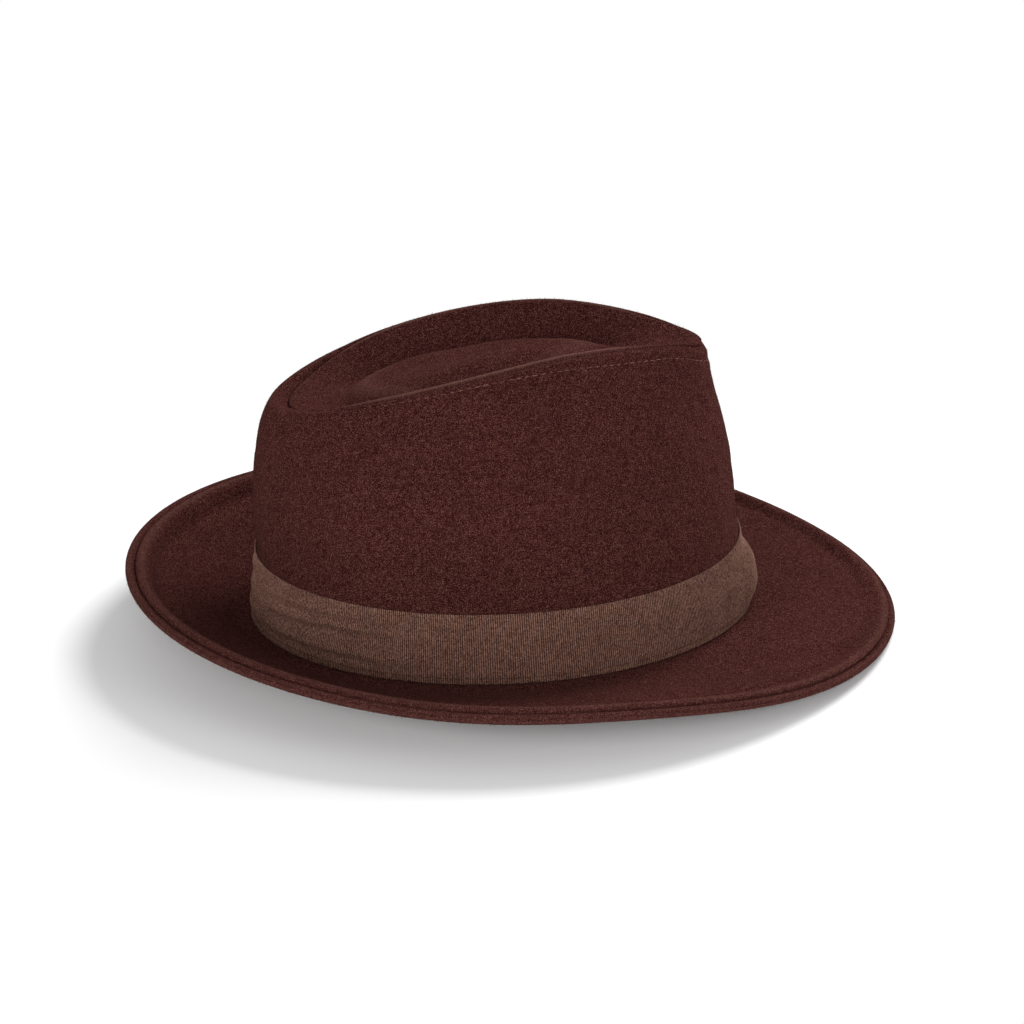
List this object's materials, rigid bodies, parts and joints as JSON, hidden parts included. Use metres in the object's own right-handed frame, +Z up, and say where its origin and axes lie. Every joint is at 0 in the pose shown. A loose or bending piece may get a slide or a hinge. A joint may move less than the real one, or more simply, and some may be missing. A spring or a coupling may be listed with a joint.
{
  "type": "felt fedora hat",
  "caption": "Cut-and-sewn wool felt fedora with a teardrop crown, a ribbon hatband with a flat side bow, and a wired, edge-stitched brim that turns up at the back.",
  "frame": {"origin": "centre of the hat's outline on the surface it stands on", "axes": "+X towards the front of the hat, +Y towards the wearer's left, +Z up"},
  "size_m": [0.3233, 0.295, 0.1233],
  "materials": {
    "wool_felt": "fuzzy wool felt",
    "ribbon": "ribbed grosgrain",
    "satin_lining": "smooth satin",
    "sweatband_twill": "twill",
    "stiffener": "non-woven",
    "edge_wire": "drawn wire"
  },
  "bodies": {
    "root": {"crown_side_panel": "wool_felt", "crown_tip_panel": "wool_felt", "brim_top_layer": "wool_felt", "brim_under_layer": "wool_felt", "brim_stiffener": "stiffener", "brim_edge_wire": "edge_wire", "hatband_ribbon": "ribbon", "bow_loop": "ribbon", "bow_tail": "ribbon", "bow_keeper": "ribbon", "sweatband": "sweatband_twill", "lining_side_panel": "satin_lining", "lining_tip_panel": "satin_lining"}
  },
  "joints": []
}
